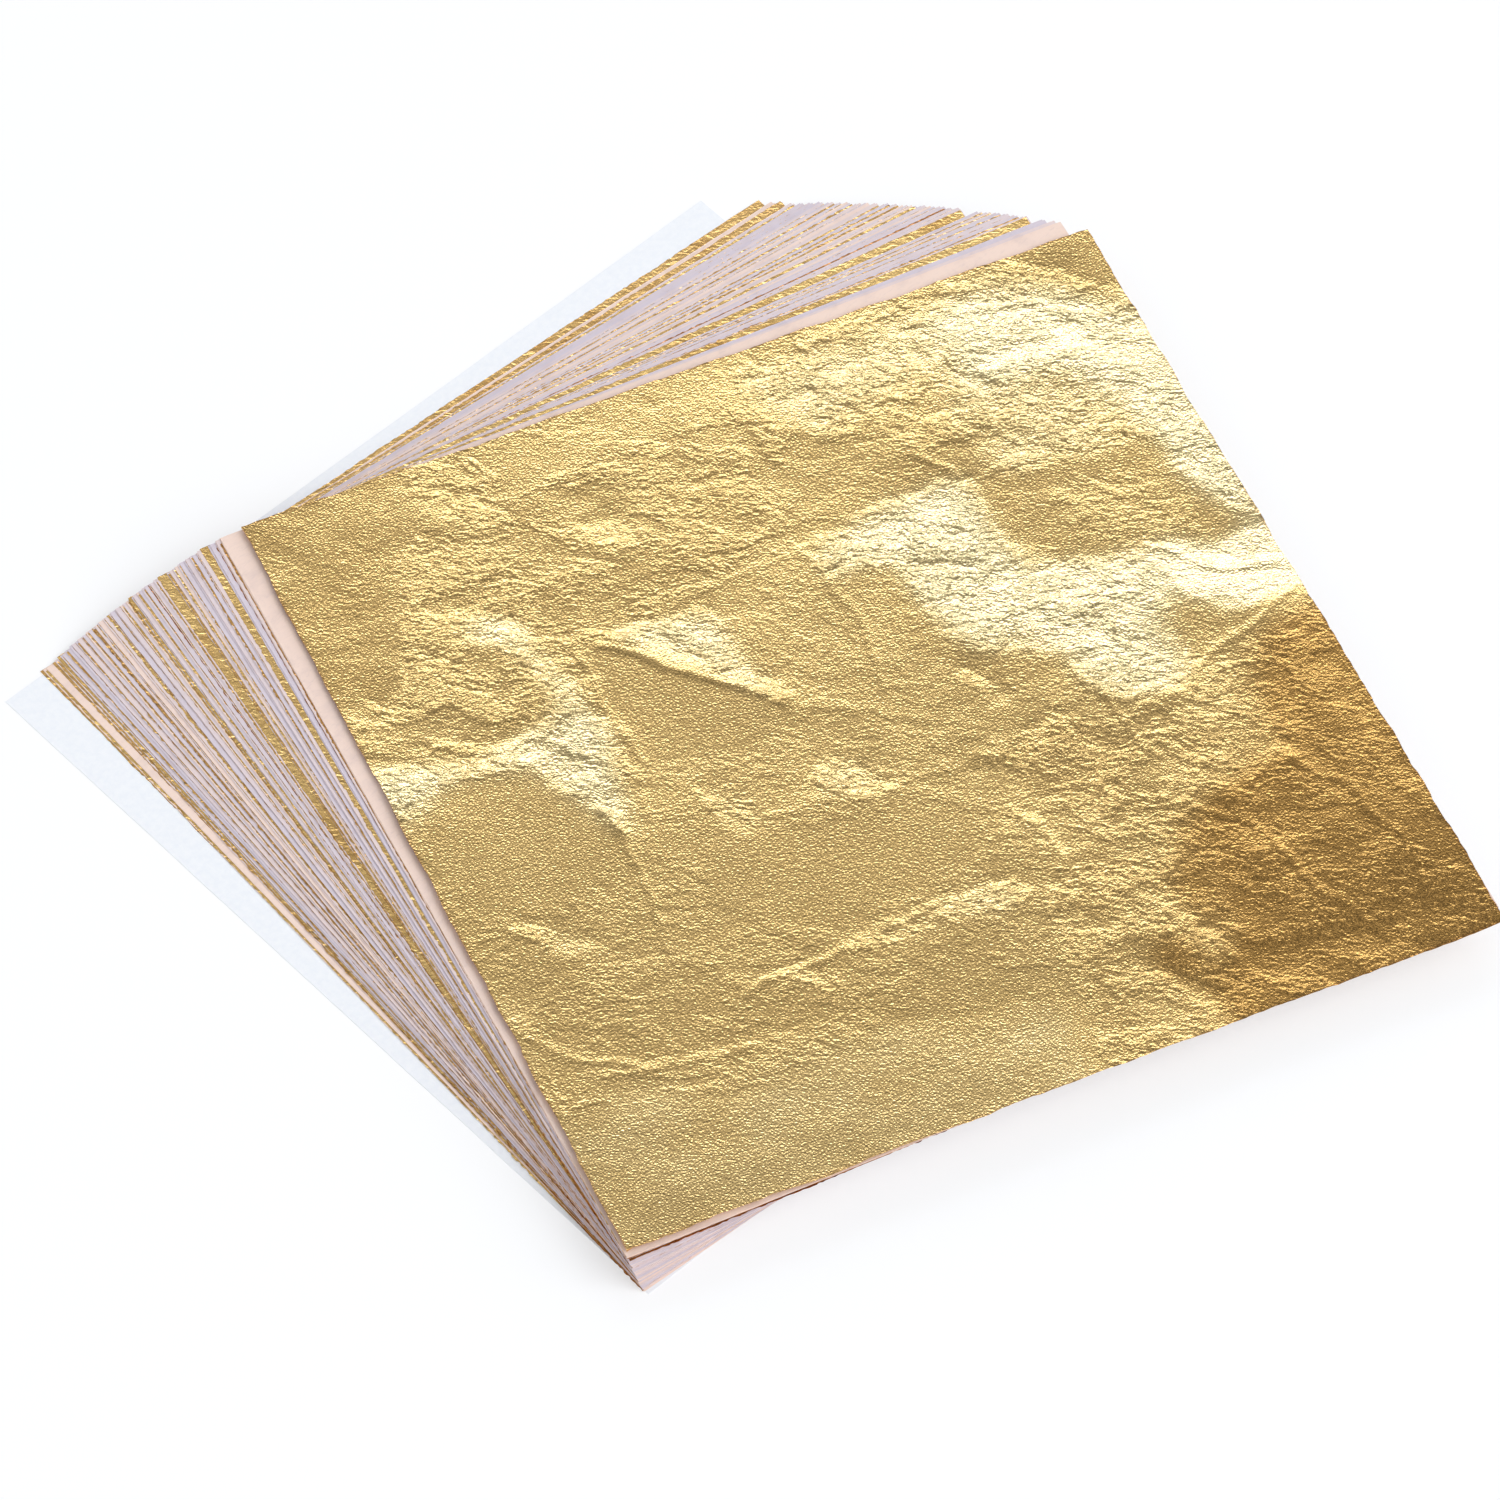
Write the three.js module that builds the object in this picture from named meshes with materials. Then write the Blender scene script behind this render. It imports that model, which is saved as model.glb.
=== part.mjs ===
// A loose pack of imitation gold leaf: square brass leaves with tissues between them, fanned out
// round a point near one corner, on a translucent backing sheet.
// Millimetres, +Z up. The origin is the point that the fan turns round, on the backing's underside.
// The backing lies square to X and Y, and each sheet above it is turned further clockwise.
import * as THREE from 'three';

// Sheet outlines, mm. All sheets are square, and share the pivot point.
const LEAF_SIDE = 140;
const TISSUE_MARGIN = 0.3; // how far a tissue reaches past a leaf, on every edge
const BACKING_MARGIN = 0.3; // how far the backing reaches past a leaf, on every edge

// The pivot, from a leaf's near corner along its two edges, mm.
const PIVOT_ALONG = 12;
const PIVOT_IN = 4;

// Heights, mm. A leaf is far thinner than this, but it lies crinkled and takes up this much of the
// stack. A tissue solid is as high as the three sheets that lie together there: a tissue, a leaf
// and a tissue.
const BACKING_HEIGHT = 0.08;
const LEAF_HEIGHT = 0.05;
const TISSUE_HEIGHT = 0.12;
const LAYER_GAP = 0.02; // air between a sheet and the one that it lies on

// The fan, in degrees clockwise from the backing, seen from above.
const PAIR_COUNT = 29; // a leaf and the tissue on it make a pair
const FAN_OPENING = 18.4; // the top leaf
const BACKING_SHOWN = 2.7; // from the backing to the lowest leaf
const TOP_TISSUE_SHOWN = 1.35; // from the highest tissue to the top leaf
const LEAF_SHOWN = 0.12; // from a leaf to the tissue on it
const BROAD_LEAF_SHOWN = 0.6; // the same, where a leaf was pulled further out
const BROAD_LEAVES = [1, 2, 21, 27]; // the pairs whose leaf was pulled out, from the bottom

const LEAF_FINISH = { color: 0xc9a557, roughness: 0.35, metalness: 1 };
const TISSUE_FINISH = { color: 0xd8cccd, roughness: 0.9, metalness: 0 };
const BACKING_FINISH = { color: 0xeef1f8, roughness: 0.6, metalness: 0 };

// A flat square sheet whose own pivot point is at x = 0, y = 0, with its underside at z = 0.
// margin is how far it reaches past a leaf on every edge.
function sheetGeometry(margin, height) {
  const side = LEAF_SIDE + 2 * margin;
  const geometry = new THREE.BoxGeometry(side, side, height);
  geometry.translate(LEAF_SIDE / 2 - PIVOT_ALONG, LEAF_SIDE / 2 - PIVOT_IN, height / 2);
  return geometry;
}

function sheet(name, margin, height, finish) {
  const mesh = new THREE.Mesh(sheetGeometry(margin, height), new THREE.MeshStandardMaterial(finish));
  mesh.name = name;
  mesh.userData.height = height;
  return mesh;
}

const numbered = (word, pair) => `${word}_${String(pair).padStart(2, '0')}`;
const backing = () => sheet('backing_sheet', BACKING_MARGIN, BACKING_HEIGHT, BACKING_FINISH);
const leaf = (name) => sheet(name, 0, LEAF_HEIGHT, LEAF_FINISH);
const tissue = (name) => sheet(name, TISSUE_MARGIN, TISSUE_HEIGHT, TISSUE_FINISH);

// Lays sheets on one another, each turned clockwise from the backing.
class Fan {
  constructor() {
    this.group = new THREE.Group();
    this.top = 0;
  }

  lay(mesh, turn) {
    mesh.position.z = this.top;
    mesh.rotation.z = -THREE.MathUtils.degToRad(turn);
    this.group.add(mesh);
    this.top += mesh.userData.height + LAYER_GAP;
  }
}

// What is left of the fan is shared evenly by the tissues below the top one.
const leafShown = (pair) => (BROAD_LEAVES.includes(pair) ? BROAD_LEAF_SHOWN : LEAF_SHOWN);
const pairs = Array.from({ length: PAIR_COUNT }, (_, index) => index + 1);
const leavesShown = pairs.reduce((sum, pair) => sum + leafShown(pair), 0);
const tissuesShown = FAN_OPENING - BACKING_SHOWN - TOP_TISSUE_SHOWN - leavesShown;
const tissueShown = tissuesShown / (PAIR_COUNT - 1);

const fan = new Fan();
fan.lay(backing(), 0);
let turn = BACKING_SHOWN;
for (const pair of pairs) {
  fan.lay(leaf(numbered('leaf', pair)), turn);
  turn += leafShown(pair);
  fan.lay(tissue(numbered('tissue', pair)), turn);
  turn += tissueShown;
}
fan.lay(leaf('top_leaf'), FAN_OPENING);

export default fan.group;
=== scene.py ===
# %% [markdown]
# # A fanned pack of imitation gold leaf
# The object is a pack of about sixty square leaves of thin brass, beaten until they are lighter than paper.
# A sheet of soft tissue lies between every two, because the leaves cling to each other and tear.
# Nothing binds the pack: the sheets are loose, and a hand has fanned them out round one corner.
# The lesson dresses a packed frame of plain flat sheets. Each sheet of the frame is a body of its own, and
# all but the lowest turn about that corner. Every piece made here takes its place from one of those sheets
# and moves with it.

# %% Load the packed frame
import math
import random

import bpy
import numpy as np
from mathutils import Matrix, Vector


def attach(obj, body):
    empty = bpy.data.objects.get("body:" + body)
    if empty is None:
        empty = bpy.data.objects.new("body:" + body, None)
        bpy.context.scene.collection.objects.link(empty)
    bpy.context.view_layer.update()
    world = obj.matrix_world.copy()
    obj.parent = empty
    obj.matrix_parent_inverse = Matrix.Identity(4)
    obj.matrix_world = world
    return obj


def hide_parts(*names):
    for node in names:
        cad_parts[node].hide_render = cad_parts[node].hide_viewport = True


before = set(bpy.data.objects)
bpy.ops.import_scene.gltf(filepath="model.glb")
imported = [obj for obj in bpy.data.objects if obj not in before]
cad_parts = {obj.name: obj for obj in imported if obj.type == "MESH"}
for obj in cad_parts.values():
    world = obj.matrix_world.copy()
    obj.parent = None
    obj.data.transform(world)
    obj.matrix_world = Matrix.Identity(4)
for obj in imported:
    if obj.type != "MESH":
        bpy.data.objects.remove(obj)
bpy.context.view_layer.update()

MM = 0.001


# %% [markdown]
# ## Where each sheet lies
# A sheet in the frame is a thin square slab, turned about the upright axis of the fan.
# Its turn could be typed in again, but two copies of one number drift apart.
# Reading the four lower corners from the frame keeps the looks on the frame whatever its sizes become.

# %% Read a sheet's place from its corners
ROUNDING = 7  # decimals of a metre, so that triangles that meet share a corner


class Place:
    """One sheet of the fan: its near corner, its turn in radians, its side and its two heights."""

    def __init__(self, node):
        points = [v.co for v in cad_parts[node].data.vertices]
        corners = np.unique(np.round(points, ROUNDING), axis=0)
        self.low = float(corners[:, 2].min())
        self.high = float(corners[:, 2].max())
        outline = corners[corners[:, 2] < (self.low + self.high) / 2][:, :2]
        spokes = outline - outline.mean(axis=0)
        ring = outline[np.argsort(np.arctan2(spokes[:, 1], spokes[:, 0]))]
        ring = np.roll(ring, -int(np.argmin(np.hypot(ring[:, 0], ring[:, 1]))), axis=0)
        along = ring[1] - ring[0]
        self.corner = Vector((*ring[0], 0.0))
        self.turn = math.atan2(along[1], along[0])
        self.side = float(np.hypot(*along))

    def matrix(self, extra_turn=0.0, height=0.0):
        """Takes a sheet drawn from its near corner at the origin to its place."""
        seat = Matrix.Translation(self.corner + Vector((0, 0, height))) @ Matrix.Rotation(self.turn, 4, "Z")
        return Matrix.Rotation(extra_turn, 4, "Z") @ seat


places = {node: Place(node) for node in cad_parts}
top = places["top_leaf"]
print("top leaf: side", round(top.side / MM, 2), "mm, turn", round(math.degrees(top.turn), 2), "degrees")

# %% [markdown]
# ## The camera
# The pack is seen from its near corner, from rather high up, through a long lens, so its far side
# hardly shrinks. A camera is an object whose local axes point right, up and back. Building these three
# axes by hand gives the view's turn, its tilt and the slight roll of the picture in one matrix.

# %% Point the camera
LENS = 240.0  # millimetres, as the sensor
SENSOR = 36.0
VIEW_DISTANCE = 1.4744  # metres
VIEW_TURN = math.radians(44.17)
VIEW_DROP = math.radians(54.59)
VIEW_ROLL = math.radians(1.41)
VIEW_AIM = Vector((61.66, 53.91, 3.0)) * MM

scene = bpy.context.scene
scene.view_settings.view_transform = "Standard"
forward = Vector((
    math.sin(VIEW_TURN) * math.cos(VIEW_DROP),
    math.cos(VIEW_TURN) * math.cos(VIEW_DROP),
    -math.sin(VIEW_DROP),
))
level_right = forward.cross(Vector((0, 0, 1))).normalized()
level_up = level_right.cross(forward)
right = level_right * math.cos(VIEW_ROLL) + level_up * math.sin(VIEW_ROLL)
up = right.cross(forward)
camera = bpy.data.objects.new("camera", bpy.data.cameras.new("camera"))
camera.data.lens = LENS
camera.data.sensor_width = SENSOR
axes = Matrix((right, up, -forward)).transposed().to_4x4()
camera.matrix_world = Matrix.Translation(VIEW_AIM - forward * VIEW_DISTANCE) @ axes
scene.collection.objects.link(camera)
scene.camera = camera
print("camera at", [round(c, 3) for c in camera.matrix_world.translation])

# %% [markdown]
# ## Writing node maths as Python
# Materials, the world and Geometry Nodes are all trees of nodes joined by wires. Adding each node by hand
# hides the idea behind it, so one small class wraps an output socket. Plus, minus, times and divide then
# add Math nodes, also with a plain number in front.
# One method adds any other node: its settings come first, then the values or wires of its sockets.

# %% A wire that does arithmetic
class Wire:
    """One output socket in a node tree, or just the tree when no socket is named yet."""

    def __init__(self, tree, socket=None):
        self.tree = tree
        self.socket = socket

    def node(self, kind, settings=None, inputs=None, output=0):
        """Adds a node and gives back the wire of the output that is asked for."""
        made = self.tree.nodes.new(kind)
        for name, value in (settings or {}).items():
            if name == "stops":
                self.set_stops(made.color_ramp, value)
            else:
                setattr(made, name, value)
        for key, value in (inputs or {}).items():
            for each in value if isinstance(value, list) else [value]:
                if isinstance(each, Wire):
                    each.into(made, key)
                else:
                    made.inputs[key].default_value = each
        return Wire(self.tree, made.outputs[output])

    def into(self, node, key):
        """Leads this wire into a socket of a node."""
        self.tree.links.new(self.socket, node.inputs[key])

    def other(self, output):
        """Another output of the node that this wire comes from."""
        return Wire(self.tree, self.socket.node.outputs[output])

    @staticmethod
    def set_stops(ramp, stops):
        """Gives a colour ramp its grey stops, each a position and a brightness."""
        ramp.elements.remove(ramp.elements[-1])
        for number, (position, grey) in enumerate(stops):
            element = ramp.elements.new(position) if number else ramp.elements[0]
            element.position = position
            element.color = (grey, grey, grey, 1.0)

    def math(self, operation, first, second=0.0):
        """Arithmetic on two numbers."""
        return self.node("ShaderNodeMath", {"operation": operation}, {0: first, 1: second})

    def vector(self, operation, first, second=(0.0, 0.0, 0.0)):
        """Arithmetic on two vectors."""
        return self.node("ShaderNodeVectorMath", {"operation": operation}, {0: first, 1: second})

    def scaled(self, factor):
        """This vector, longer or shorter by a factor."""
        return self.node("ShaderNodeVectorMath", {"operation": "SCALE"}, {0: self, "Scale": factor})

    def dot(self, direction):
        """How far this vector reaches in a direction."""
        both = {0: self, 1: direction}
        return self.node("ShaderNodeVectorMath", {"operation": "DOT_PRODUCT"}, both, "Value")

    def mix(self, low, high):
        """Goes from one colour to another as this wire goes from 0 to 1."""
        # A Mix node's colours go into sockets 6 and 7, and the mixed colour comes out of socket 2.
        return self.node("ShaderNodeMix", {"data_type": "RGBA"}, {0: self, 6: low, 7: high}, 2)

    def ramp(self, start, end):
        """Goes smoothly from 0 to 1 as this wire goes from start to end."""
        limits = {"Value": self, "From Min": start, "From Max": end}
        return self.node("ShaderNodeMapRange", {"interpolation_type": "SMOOTHSTEP"}, limits)

    def __add__(self, other):
        return self.math("ADD", self, other)

    def __radd__(self, other):
        return self.math("ADD", other, self)

    def __sub__(self, other):
        return self.math("SUBTRACT", self, other)

    def __rsub__(self, other):
        return self.math("SUBTRACT", other, self)

    def __mul__(self, other):
        return self.math("MULTIPLY", self, other)

    def __rmul__(self, other):
        return self.math("MULTIPLY", other, self)

    def __truediv__(self, other):
        return self.math("DIVIDE", self, other)

    def __rtruediv__(self, other):
        return self.math("DIVIDE", other, self)


print("a wire can:", ", ".join(name for name in vars(Wire) if not name.startswith("_")))

# %% [markdown]
# ## Colours and materials
# A colour is easiest to name as a picture shows it, in three numbers from 0 to 255. Shaders reckon in linear
# light instead, so one helper turns the first into the second.
# Every material starts as one shader, and its nodes grow from a wire that holds its tree.

# %% Name colours and start materials
BRIGHTEST = 255
DARK_LIMIT = 0.04045  # below this share of the brightest the picture's curve is a straight line
DARK_SLOPE = 12.92
CURVE_SHIFT = 0.055
CURVE_POWER = 2.4
WHITE = (1.0, 1.0, 1.0, 1.0)


def linear(part):
    """One part of a colour, from 0 to 255, as the share of light that it stands for."""
    share = part / BRIGHTEST
    if share <= DARK_LIMIT:
        return share / DARK_SLOPE
    return ((share + CURVE_SHIFT) / (1 + CURVE_SHIFT)) ** CURVE_POWER


def colour(red, green, blue):
    """A colour as a picture shows it, from 0 to 255, in the linear values that shaders take."""
    return (linear(red), linear(green), linear(blue), 1.0)


def new_material(name):
    """A material, its shader and a wire to start its nodes from."""
    material = bpy.data.materials.new(name)
    material.use_nodes = True
    return material, material.node_tree.nodes["Principled BSDF"], Wire(material.node_tree)


print("a mid gold in linear values:", [round(c, 3) for c in colour(200, 165, 90)])

# %% [markdown]
# ## The floor
# The pack lies on a white table that keeps a soft shadow. A floor that is only lit comes out grey, and more
# light would bleach the tissues, so the floor's own look is mixed half and half with a white that glows at
# strength 1. Only rays from the camera, off metal or through paper see that glow, so it lights no paper.

# %% Lay the floor
FLOOR_SIZE = 8.0  # metres
FLOOR_DROP = 0.02 * MM
FLOOR_WHITE = 0.98
SHADOW_LIFT = 0.5


def make_floor():
    """A wide white square just under the pack."""
    half = FLOOR_SIZE / 2
    mesh = bpy.data.meshes.new("floor")
    corners = [(-half, -half), (half, -half), (half, half), (-half, half)]
    mesh.from_pydata([(x, y, -FLOOR_DROP) for x, y in corners], [], [(0, 1, 2, 3)])
    paint, shader, start = new_material("floor white")
    shader.inputs["Base Color"].default_value = (FLOOR_WHITE, FLOOR_WHITE, FLOOR_WHITE, 1.0)
    shader.inputs["Roughness"].default_value = 1.0
    shader.inputs["Specular IOR Level"].default_value = 0.0
    rays = start.node("ShaderNodeLightPath")
    seen = sum(rays.other(name) for name in ("Is Camera Ray", "Is Glossy Ray", "Is Transmission Ray"))
    glow = start.node("ShaderNodeEmission", inputs={"Color": WHITE, "Strength": 1.0})
    lit = Wire(paint.node_tree, shader.outputs[0])
    look = start.node("ShaderNodeMixShader", inputs={0: SHADOW_LIFT * seen, 1: lit, 2: glow})
    look.into(paint.node_tree.nodes["Material Output"], "Surface")
    mesh.materials.append(paint)
    floor = bpy.data.objects.new("floor", mesh)
    scene.collection.objects.link(floor)
    return floor


print("stage:", make_floor().name)

# %% [markdown]
# ## The glow round the pack
# Metal shows its surroundings, so the light is planned as what the leaf mirrors. From this view a flat leaf
# mirrors the far side of the studio, a good way up, where it is plain. Foil that leans a few degrees towards
# the far side finds a bright ring lower down and turns pale gold, and foil that leans away finds a dim band
# higher up and turns brown. The ring could be built from lamps, but a world that brightens by direction has
# no hard edges. Folding the direction with an absolute value repeats the ring, weaker, on the other three
# sides, so the foil keeps some life from everywhere. A light low on the far side keeps the gold from looking
# dull when it is seen from low down.

# %% Make the world glow
GLOW_SIDE = Vector((0.63, 0.63, 0.454)).normalized()
FAR_SIDE = Vector((1.0, 1.0, 0.0)).normalized()
SIDE_LIGHT = 0.53
OVERHEAD_LIGHT = 0.85
HORIZON_LIGHT = 0.45
DIM_LIGHT = 0.16
RING_STRENGTH = 3.7
OTHER_RINGS = 0.35
# Stops are a position and a brightness. Heights and reaches are shares of a direction of length 1.
DIM_STOPS = [(0.0, 0.0), (0.848, 0.0), (0.888, 1.0), (0.945, 1.0), (0.975, 0.0), (1.0, 0.0)]
DIM_FAR = (0.0, 0.25)
RING_STOPS = [
    (0.0, 0.0), (0.954, 0.0), (0.970, 0.10), (0.978, 1.0), (0.987, 1.0), (0.991, 0.15), (1.0, 0.05),
]
RING_HEIGHT = (0.5, 0.62)
RING_FAR = (0.2, 0.7)
OVERHEAD_HEIGHT = (0.95, 0.985)
HORIZON_HEIGHT = (0.4, 0.75)
HORIZON_FAR = (-0.2, 0.5)
GLOW_TINT = (0.97, 0.98, 1.0, 1.0)
RING_TINT = (0.88, 1.0, 1.2, 1.0)


def make_glow():
    """A soft world with a bright ring on the far side and a dim band above it."""
    world = bpy.data.worlds.new("studio glow")
    world.use_nodes = True
    scene.world = world
    start = Wire(world.node_tree)
    direction = start.node("ShaderNodeTexCoord", output="Generated")
    height = start.node("ShaderNodeSeparateXYZ", inputs={0: direction}, output="Z")
    far = direction.dot(FAR_SIDE)
    share = (start.vector("ABSOLUTE", direction).dot(GLOW_SIDE) + 1) / 2
    dim = start.node("ShaderNodeValToRGB", {"stops": DIM_STOPS}, {"Fac": height}) * far.ramp(*DIM_FAR)
    ring = start.node("ShaderNodeValToRGB", {"stops": RING_STOPS}, {"Fac": share})
    ring = ring * height.ramp(*RING_HEIGHT)
    lit_side = far.ramp(*RING_FAR) * (1 - OTHER_RINGS) + OTHER_RINGS
    overhead = height.ramp(*OVERHEAD_HEIGHT) * (OVERHEAD_LIGHT - SIDE_LIGHT)
    horizon = (1 - height.ramp(*HORIZON_HEIGHT)) * far.ramp(*HORIZON_FAR) * HORIZON_LIGHT
    base = SIDE_LIGHT + overhead + horizon - dim * (SIDE_LIGHT - DIM_LIGHT)
    background = world.node_tree.nodes["Background"]
    ring.mix(GLOW_TINT, RING_TINT).into(background, "Color")
    (base + ring * lit_side * RING_STRENGTH).into(background, "Strength")
    return world


print("world:", make_glow().name)

# %% [markdown]
# ## The lamp for the paper
# Paper scatters light instead of mirroring it, so the tissues and the floor need light from the front.
# A small lamp would throw a hard shadow. One broad square lamp, in front and to the right, gives a soft one.
# It is kept out of mirror rays, so the foil shows the glow alone.

# %% Hang the lamp
LAMP_SIZE = 3.6  # metres, as the distance
LAMP_DISTANCE = 4.0
LAMP_SIDE = Vector((0.35, -0.68, 0.64)).normalized()
LAMP_RADIANCE = 2.85
LAMP_TINT = (0.97, 0.98, 1.0)


def make_lamp():
    """A broad square lamp that faces the pack."""
    lamp = bpy.data.lights.new("broad lamp", "AREA")
    lamp.shape = "SQUARE"
    lamp.size = LAMP_SIZE
    lamp.color = LAMP_TINT
    lamp.energy = LAMP_RADIANCE * math.pi * LAMP_SIZE ** 2
    holder = bpy.data.objects.new("broad lamp", lamp)
    facing = LAMP_SIDE.to_track_quat("Z", "Y").to_matrix().to_4x4()
    holder.matrix_world = Matrix.Translation(VIEW_AIM + LAMP_SIDE * LAMP_DISTANCE) @ facing
    holder.visible_glossy = False
    scene.collection.objects.link(holder)
    return lamp


print("lamp of", round(make_lamp().energy), "watts")

# %% [markdown]
# ## Patterns in millimetres
# Grain, wrinkles, mottle and pulp are all noise of one kind or another, and what tells them apart is size.
# Object coordinates give a point's place in metres, so they are first turned into millimetres.
# A pattern then has its real size on every sheet, and stays put when the sheet moves.

# %% Helpers for patterns
def millimetres(start):
    """Object coordinates in millimetres."""
    place = start.node("ShaderNodeTexCoord", output="Object")
    return start.vector("MULTIPLY", place, (1 / MM, 1 / MM, 1 / MM))


def noise(place, size, detail=2.0, rough=0.5, twist=0.0):
    """Fractal noise from 0 to 1 with features of about that size."""
    looks = {"Vector": place, "Scale": 1 / size, "Detail": detail, "Roughness": rough, "Distortion": twist}
    return place.node("ShaderNodeTexNoise", inputs=looks)


def sheet_number(start, name):
    """A number that the sheet itself carries."""
    return start.node("ShaderNodeAttribute", {"attribute_name": name}, output="Fac")


def rim_distance(start, side):
    """How far a point lies from the nearest edge of its sheet, in millimetres."""
    sheet = start.node("ShaderNodeUVMap", {"uv_map": "sheet"})
    across = start.node("ShaderNodeSeparateXYZ", inputs={0: sheet})
    along = across.other("Y")
    inside_x = start.math("MINIMUM", across, 1 - across)
    inside_y = start.math("MINIMUM", along, 1 - along)
    return start.math("MINIMUM", inside_x, inside_y) * side


print("one unit of a pattern is", MM, "metres")

# %% [markdown]
# ## The foil finish
# Imitation leaf is brass beaten to a few thousandths of a millimetre: a metal, so its colour sits in its
# reflection. Under a lens it is never smooth. Beating leaves a fine grain, and handling leaves a leathery
# net of wrinkles. Both are too fine for a mesh, so they become bump from noise, the wrinkles drawn out one
# way. The leaves in the fan show only their rims, so theirs is the simpler finish: a mottled gold that goes
# towards brown by a number that each sheet carries. The brown is painted shade, for rims that lie in shade.

# %% Foil for the fan
FOIL_GOLD = colour(246, 207, 134)
FOIL_DEEP = colour(214, 166, 94)
# Brown for leaf rims: painted shade on the fan's leaves, and the browner rim of the top leaf.
FOIL_BROWN = colour(186, 118, 66)
STREAK_TURN = math.radians(44)
STREAK_STRETCH = (0.65, 1.0, 1.0)
# Sizes, rises and widths of patterns are in millimetres, here and in the finishes below.
WRINKLES = {"size": 0.95, "detail": 2.5, "twist": 0.9}
GRAIN = {"size": 0.34, "detail": 1.0}
MOTTLE = {"size": 9.0, "detail": 3.0, "rough": 0.6}
FAN_WRINKLE_RISE = 0.06
FAN_GRAIN_RISE = 0.014
FAN_MOTTLE = (0.2, 0.55)
FAN_ROUGHNESS = 0.14
MOTTLE_ROUGHNESS = 0.06


def foil_patterns(start):
    """What all foil shares: the streaked place, its wrinkles, its grain and its mottle."""
    place = millimetres(start)
    turn = {"Vector": place, "Rotation": (0.0, 0.0, STREAK_TURN)}
    streaks = start.vector("MULTIPLY", start.node("ShaderNodeMapping", inputs=turn), STREAK_STRETCH)
    return streaks, noise(streaks, **WRINKLES), noise(place, **GRAIN), noise(place, **MOTTLE)


def finish_foil(shader, paint, rough, relief):
    """Leads colour, roughness and relief into a metal shader."""
    shader.inputs["Metallic"].default_value = 1.0
    bump = relief.node("ShaderNodeBump", inputs={"Strength": 1.0, "Distance": MM, "Height": relief})
    for socket, wire in (("Base Color", paint), ("Roughness", rough), ("Normal", bump)):
        wire.into(shader, socket)


def fan_foil_material():
    """Mottled brass, painted browner by the sheet's tint as painted shade on rims in shade."""
    material, shader, start = new_material("fan leaf foil")
    _, wrinkles, grain, mottle = foil_patterns(start)
    tone = mottle.ramp(*FAN_MOTTLE).mix(FOIL_DEEP, FOIL_GOLD)
    # The tint paints the leaf brown: painted shade for rims that lie in shade.
    paint = sheet_number(start, "tint").mix(tone, FOIL_BROWN)
    relief = FAN_WRINKLE_RISE * wrinkles + FAN_GRAIN_RISE * grain
    finish_foil(shader, paint, MOTTLE_ROUGHNESS * mottle + FAN_ROUGHNESS, relief)
    return material


fan_foil = fan_foil_material()
print("foil:", fan_foil.name, "with", len(fan_foil.node_tree.nodes), "nodes")

# %% [markdown]
# ## The foil of the top leaf
# The top leaf lies open, so its finish has more to say. The sheet carries two numbers at every point: how
# strongly it is wrinkled and how far it leans. Wrinkles follow the first, and they come in patches.
# The tone follows the second, with mottle to break its edge: paler where the foil leans towards the glow,
# a painted highlight, and deeper where it leans away, a painted shade. The foil is browner near its rim.

# %% Foil for the top leaf
# Painted highlight: the pale gold that foil leaning towards the glow is painted with.
FOIL_PAINTED_HIGHLIGHT = colour(253, 237, 184)
# The foil is browner within this many millimetres of its rim.
RIM_WIDTH = 0.5
RIM_BROWN = 0.3
CREASED = {"size": 6.0, "detail": 3.0, "rough": 0.6, "twist": 0.6}
CREASED_EDGES = (0.42, 0.60)
CALM_SHARE = 0.3
TOP_WRINKLE_RISE = 0.3
TOP_GRAIN_RISE = 0.055
TOP_ROUGHNESS = 0.1
MOTTLE_LEAN = 0.8
# Leans over which the tone goes from painted shade to gold, and from gold to painted highlight.
SHADE_LEAN = (-3.0, 0.2)
HIGHLIGHT_LEAN = (0.6, 2.8)
HIGHLIGHT_SHARE = 0.7


def top_foil_material():
    """Wrinkled brass with painted highlight where it leans to the glow, painted shade where it leans away,
    and a brown rim.
    """
    material, shader, start = new_material("top leaf foil")
    streaks, wrinkles, grain, mottle = foil_patterns(start)
    creased = noise(streaks, **CREASED).ramp(*CREASED_EDGES) * (1 - CALM_SHARE) + CALM_SHARE
    relief = wrinkles * sheet_number(start, "wrinkle") * creased * TOP_WRINKLE_RISE + TOP_GRAIN_RISE * grain
    # Painted highlight where the foil leans towards the glow and painted shade where it leans away, broken
    # by mottle.
    lean = sheet_number(start, "tint") + MOTTLE_LEAN * mottle
    tone = lean.ramp(*SHADE_LEAN).mix(FOIL_DEEP, FOIL_GOLD)
    tone = (HIGHLIGHT_SHARE * lean.ramp(*HIGHLIGHT_LEAN)).mix(tone, FOIL_PAINTED_HIGHLIGHT)
    # The foil turns browner towards its rim.
    brown_share = (1 - rim_distance(start, top.side / MM).ramp(0.0, RIM_WIDTH)) * RIM_BROWN
    finish_foil(shader, brown_share.mix(tone, FOIL_BROWN), MOTTLE_ROUGHNESS * mottle + TOP_ROUGHNESS, relief)
    return material


top_foil = top_foil_material()
print("foil:", top_foil.name, "with", len(top_foil.node_tree.nodes), "nodes")

# %% [markdown]
# ## The tissue finish
# The interleaf is unsized tissue. On more tissue it looks grey with a breath of lilac, and over a leaf the
# brass shows through as peach. True see-through sheets, sixty deep, would render slowly and change little,
# so each sheet carries one number, its tint, and the finish goes from lilac to peach by it.
# Clouds in the pulp and long strands of fibre shade it.

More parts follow.
